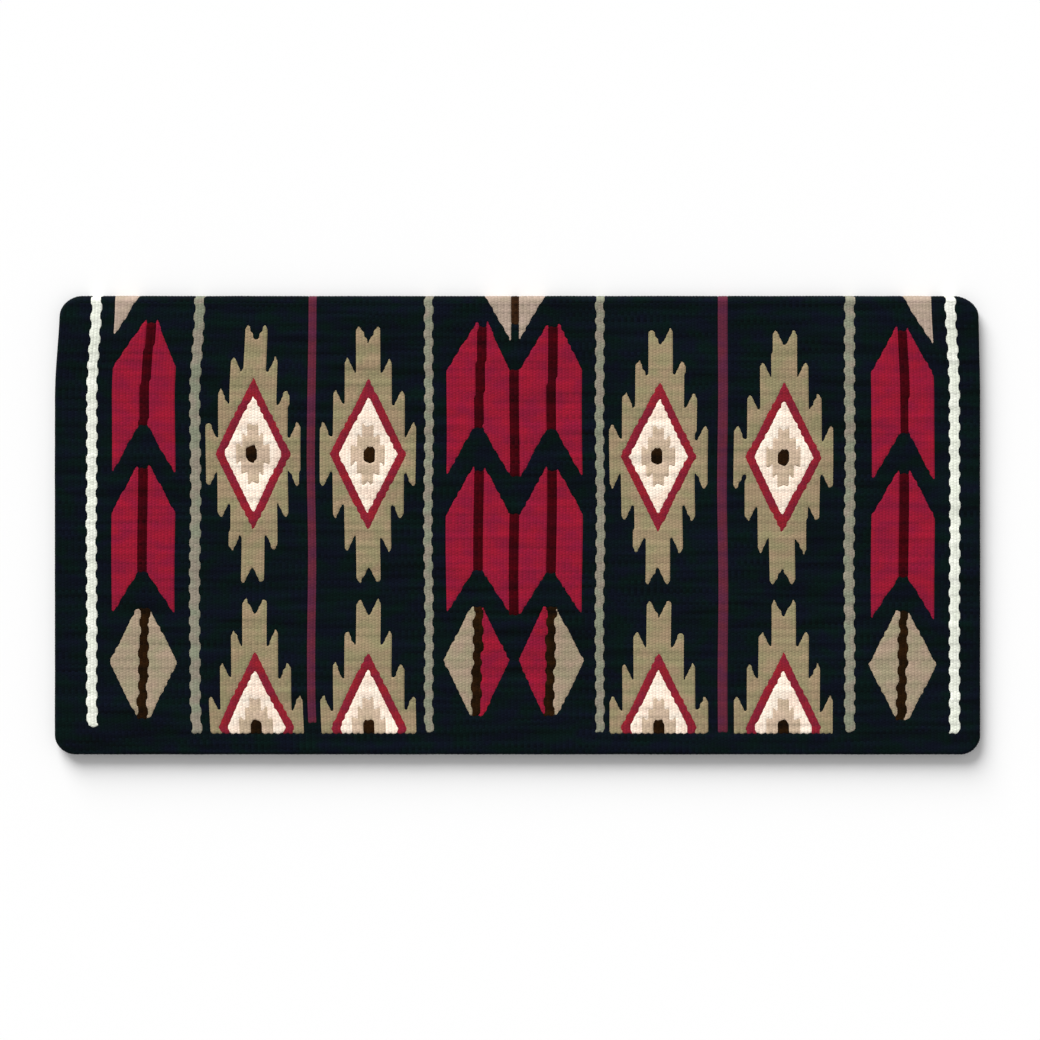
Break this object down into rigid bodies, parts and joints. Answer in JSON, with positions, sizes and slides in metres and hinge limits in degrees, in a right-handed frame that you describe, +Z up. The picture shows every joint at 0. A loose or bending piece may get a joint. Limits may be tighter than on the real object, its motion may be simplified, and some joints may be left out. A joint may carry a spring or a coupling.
{
  "type": "saddle blanket",
  "caption": "Hand-woven wool saddle blanket, folded in half along its spine: dark ground weave with let-in stripes, barbed medallions, feathers and lozenges. Opens about the fold.",
  "frame": {"origin": "middle of the folded blanket's footprint, on the surface that it lies on", "axes": "+X along the fold, +Y from the hems towards the fold, +Z up out of the upper (near) side"},
  "size_m": [0.9144, 0.4524, 0.0143],
  "materials": {
    "ground_wool": "dull near-black wool weave",
    "crimson_wool": "dull crimson wool weave",
    "tan_wool": "dull tan wool weave",
    "cream_wool": "dull cream wool weave",
    "warm_cream_wool": "dull warm cream wool weave",
    "dull_crimson_wool": "dull muted crimson wool weave"
  },
  "bodies": {
    "off_side": {"off_ground_weave": "ground_wool", "off_cream_stripe_left": "cream_wool", "off_cream_stripe_right": "cream_wool", "off_tan_stripe_left": "tan_wool", "off_tan_stripe_mid_left": "tan_wool", "off_tan_stripe_mid_right": "tan_wool", "off_tan_stripe_right": "tan_wool", "off_crimson_stripe_left": "dull_crimson_wool", "off_crimson_stripe_right": "dull_crimson_wool", "off_medallion_1": "tan_wool", "off_medallion_2": "tan_wool", "off_medallion_3": "tan_wool", "off_medallion_4": "tan_wool"},
    "near_side": {"near_ground_weave": "ground_wool", "near_cream_stripe_left": "cream_wool", "near_cream_stripe_right": "cream_wool", "near_tan_stripe_left": "tan_wool", "near_tan_stripe_mid_left": "tan_wool", "near_tan_stripe_mid_right": "tan_wool", "near_tan_stripe_right": "tan_wool", "near_crimson_stripe_left": "dull_crimson_wool", "near_crimson_stripe_right": "dull_crimson_wool", "near_medallion_1": "tan_wool", "near_medallion_2": "tan_wool", "near_medallion_3": "tan_wool", "near_medallion_4": "tan_wool", "near_medallion_1_centre": "warm_cream_wool", "near_medallion_2_centre": "warm_cream_wool", "near_medallion_3_centre": "warm_cream_wool", "near_medallion_4_centre": "warm_cream_wool", "near_half_medallion_1": "tan_wool", "near_half_medallion_2": "tan_wool", "near_half_medallion_3": "tan_wool", "near_half_medallion_4": "tan_wool", "near_half_medallion_1_centre": "warm_cream_wool", "near_half_medallion_2_centre": "warm_cream_wool", "near_half_medallion_3_centre": "warm_cream_wool", "near_half_medallion_4_centre": "warm_cream_wool", "near_feather_left_upper": "crimson_wool", "near_feather_left_lower": "crimson_wool", "near_feather_mid_left_upper": "crimson_wool", "near_feather_mid_left_lower": "crimson_wool", "near_feather_mid_right_upper": "crimson_wool", "near_feather_mid_right_lower": "crimson_wool", "near_feather_right_upper": "crimson_wool", "near_feather_right_lower": "crimson_wool", "near_lozenge_left_left_half": "tan_wool", "near_lozenge_left_right_half": "tan_wool", "near_lozenge_mid_left_left_half": "tan_wool", "near_lozenge_mid_left_right_half": "crimson_wool", "near_lozenge_mid_right_left_half": "crimson_wool", "near_lozenge_mid_right_right_half": "tan_wool", "near_lozenge_right_left_half": "tan_wool", "near_lozenge_right_right_half": "tan_wool", "near_fold_diamond_left": "tan_wool", "near_fold_diamond_mid_left": "tan_wool", "near_fold_diamond_mid_right": "tan_wool", "near_fold_diamond_right": "tan_wool"}
  },
  "joints": [
    {"name": "spine_fold", "type": "hinge", "parent": "off_side", "child": "near_side", "pos_m": [0, 0.2263, 0.00715], "axis": [-1, 0, 0], "range_deg": [0, 180]}
  ]
}
